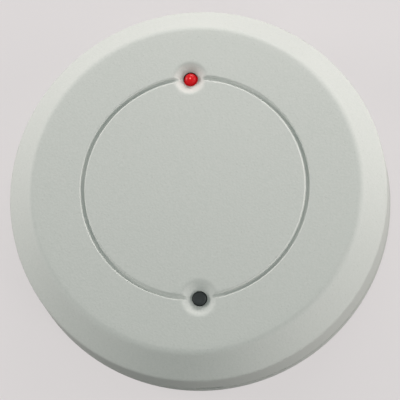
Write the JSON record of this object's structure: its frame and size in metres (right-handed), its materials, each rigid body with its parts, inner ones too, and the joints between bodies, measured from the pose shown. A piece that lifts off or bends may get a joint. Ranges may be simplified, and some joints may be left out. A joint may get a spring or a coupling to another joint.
{
  "type": "heat detector",
  "caption": "Low round wall or ceiling heat detector: screw-on base with circuit board, swing-off domed cover, status lamp and sensing head in dished openings.",
  "frame": {"origin": "centre of the flat back, in the plane that lies on the wall or ceiling", "axes": "+Z out of the back and through the middle of the face, +Y from the centre towards the status lamp, +X to the right of the lamp as seen from in front"},
  "size_m": [0.088, 0.088, 0.0207],
  "materials": {
    "base_plastic": "satin",
    "label_film": "satin",
    "cover_plastic": "fine texture",
    "latch_plastic": "satin",
    "board_laminate": "solder mask",
    "screw_steel": "zinc plated",
    "solder": "bright",
    "terminal_plastic": "satin",
    "clamp_brass": "plated",
    "lamp_lens": "diffused lens, lit",
    "tinned_lead": "tinned",
    "spacer_nylon": "natural",
    "head_epoxy": "epoxy coat",
    "sleeve_pvc": "sleeve",
    "bead_glass": "dipped epoxy",
    "moulded_epoxy": "moulded",
    "relay_case": "moulded",
    "can_aluminium": "drawn",
    "can_sleeve": "shrink film",
    "varistor_coat": "dipped epoxy",
    "resistor_coat": "lacquer with bands",
    "diode_body": "moulded with a band",
    "film_case": "moulded",
    "ceramic_coat": "dipped",
    "switch_case": "moulded",
    "slider_plastic": "moulded",
    "header_plastic": "moulded",
    "pin_gold": "gold plated",
    "shunt_plastic": "moulded",
    "tamper_case": "moulded",
    "plunger_nylon": "natural",
    "spring_steel": "drawn wire"
  },
  "bodies": {
    "base": {"mounting_base": "base_plastic", "rear_label": "label_film", "circuit_board": "board_laminate", "board_screws": "screw_steel", "solder_joints": "solder", "terminal_housing": "terminal_plastic", "terminal_screws": "screw_steel", "terminal_clamps": "clamp_brass", "status_lamp": "lamp_lens", "lamp_leads": "tinned_lead", "lamp_spacer": "spacer_nylon", "sensing_head": "head_epoxy", "sensing_leads": "tinned_lead", "sensing_sleeve": "sleeve_pvc", "reference_bead": "bead_glass", "reference_leads": "tinned_lead", "controller_chip": "moulded_epoxy", "controller_pins": "tinned_lead", "alarm_relay": "relay_case", "relay_pins": "tinned_lead", "bridge_rectifier": "moulded_epoxy", "rectifier_legs": "tinned_lead", "capacitor_cans": "can_aluminium", "capacitor_sleeves": "can_sleeve", "surge_varistor": "varistor_coat", "varistor_legs": "tinned_lead", "resistor_bodies": "resistor_coat", "resistor_leads": "tinned_lead", "diode_bodies": "diode_body", "diode_leads": "tinned_lead", "transistors": "moulded_epoxy", "transistor_legs": "tinned_lead", "film_capacitor": "film_case", "ceramic_capacitors": "ceramic_coat", "ceramic_legs": "tinned_lead", "switch_housing": "switch_case", "jumper_base": "header_plastic", "jumper_pins": "pin_gold", "jumper_shunt": "shunt_plastic", "tamper_switch": "tamper_case", "tamper_spring": "spring_steel"},
    "cover": {"front_cover": "cover_plastic"},
    "latch": {"release_latch": "latch_plastic"},
    "plunger": {"tamper_plunger": "plunger_nylon"},
    "slider_1": {"switch_slider_1": "slider_plastic"},
    "slider_2": {"switch_slider_2": "slider_plastic"}
  },
  "joints": [
    {"name": "cover_swing", "type": "hinge", "parent": "base", "child": "cover", "pos_m": [0, 0.0435, 0.0029], "axis": [-1, 0, 0], "range_deg": [0, 75], "deforming": ["release_latch"]},
    {"name": "latch_flex", "type": "hinge", "parent": "base", "child": "latch", "pos_m": [0, -0.0404, 0.0022], "axis": [-1, 0, 0], "range_deg": [0, 8], "stiffness_Nm_per_rad": 0.3},
    {"name": "tamper_travel", "type": "slide", "parent": "base", "child": "plunger", "axis": [0, 0, 1], "range_m": [0, 0.0012], "stiffness_N_per_m": 50, "springref_m": 0.003, "deforming": ["tamper_spring"]},
    {"name": "slider_1_travel", "type": "slide", "parent": "base", "child": "slider_1", "axis": [0, 1, 0], "range_m": [0, 0.001]},
    {"name": "slider_2_travel", "type": "slide", "parent": "base", "child": "slider_2", "axis": [0, 1, 0], "range_m": [0, 0.001]}
  ],
  "couplings": [
    {"joint": "tamper_travel", "follows": "cover_swing", "m_per_rad": 0.000916}
  ]
}
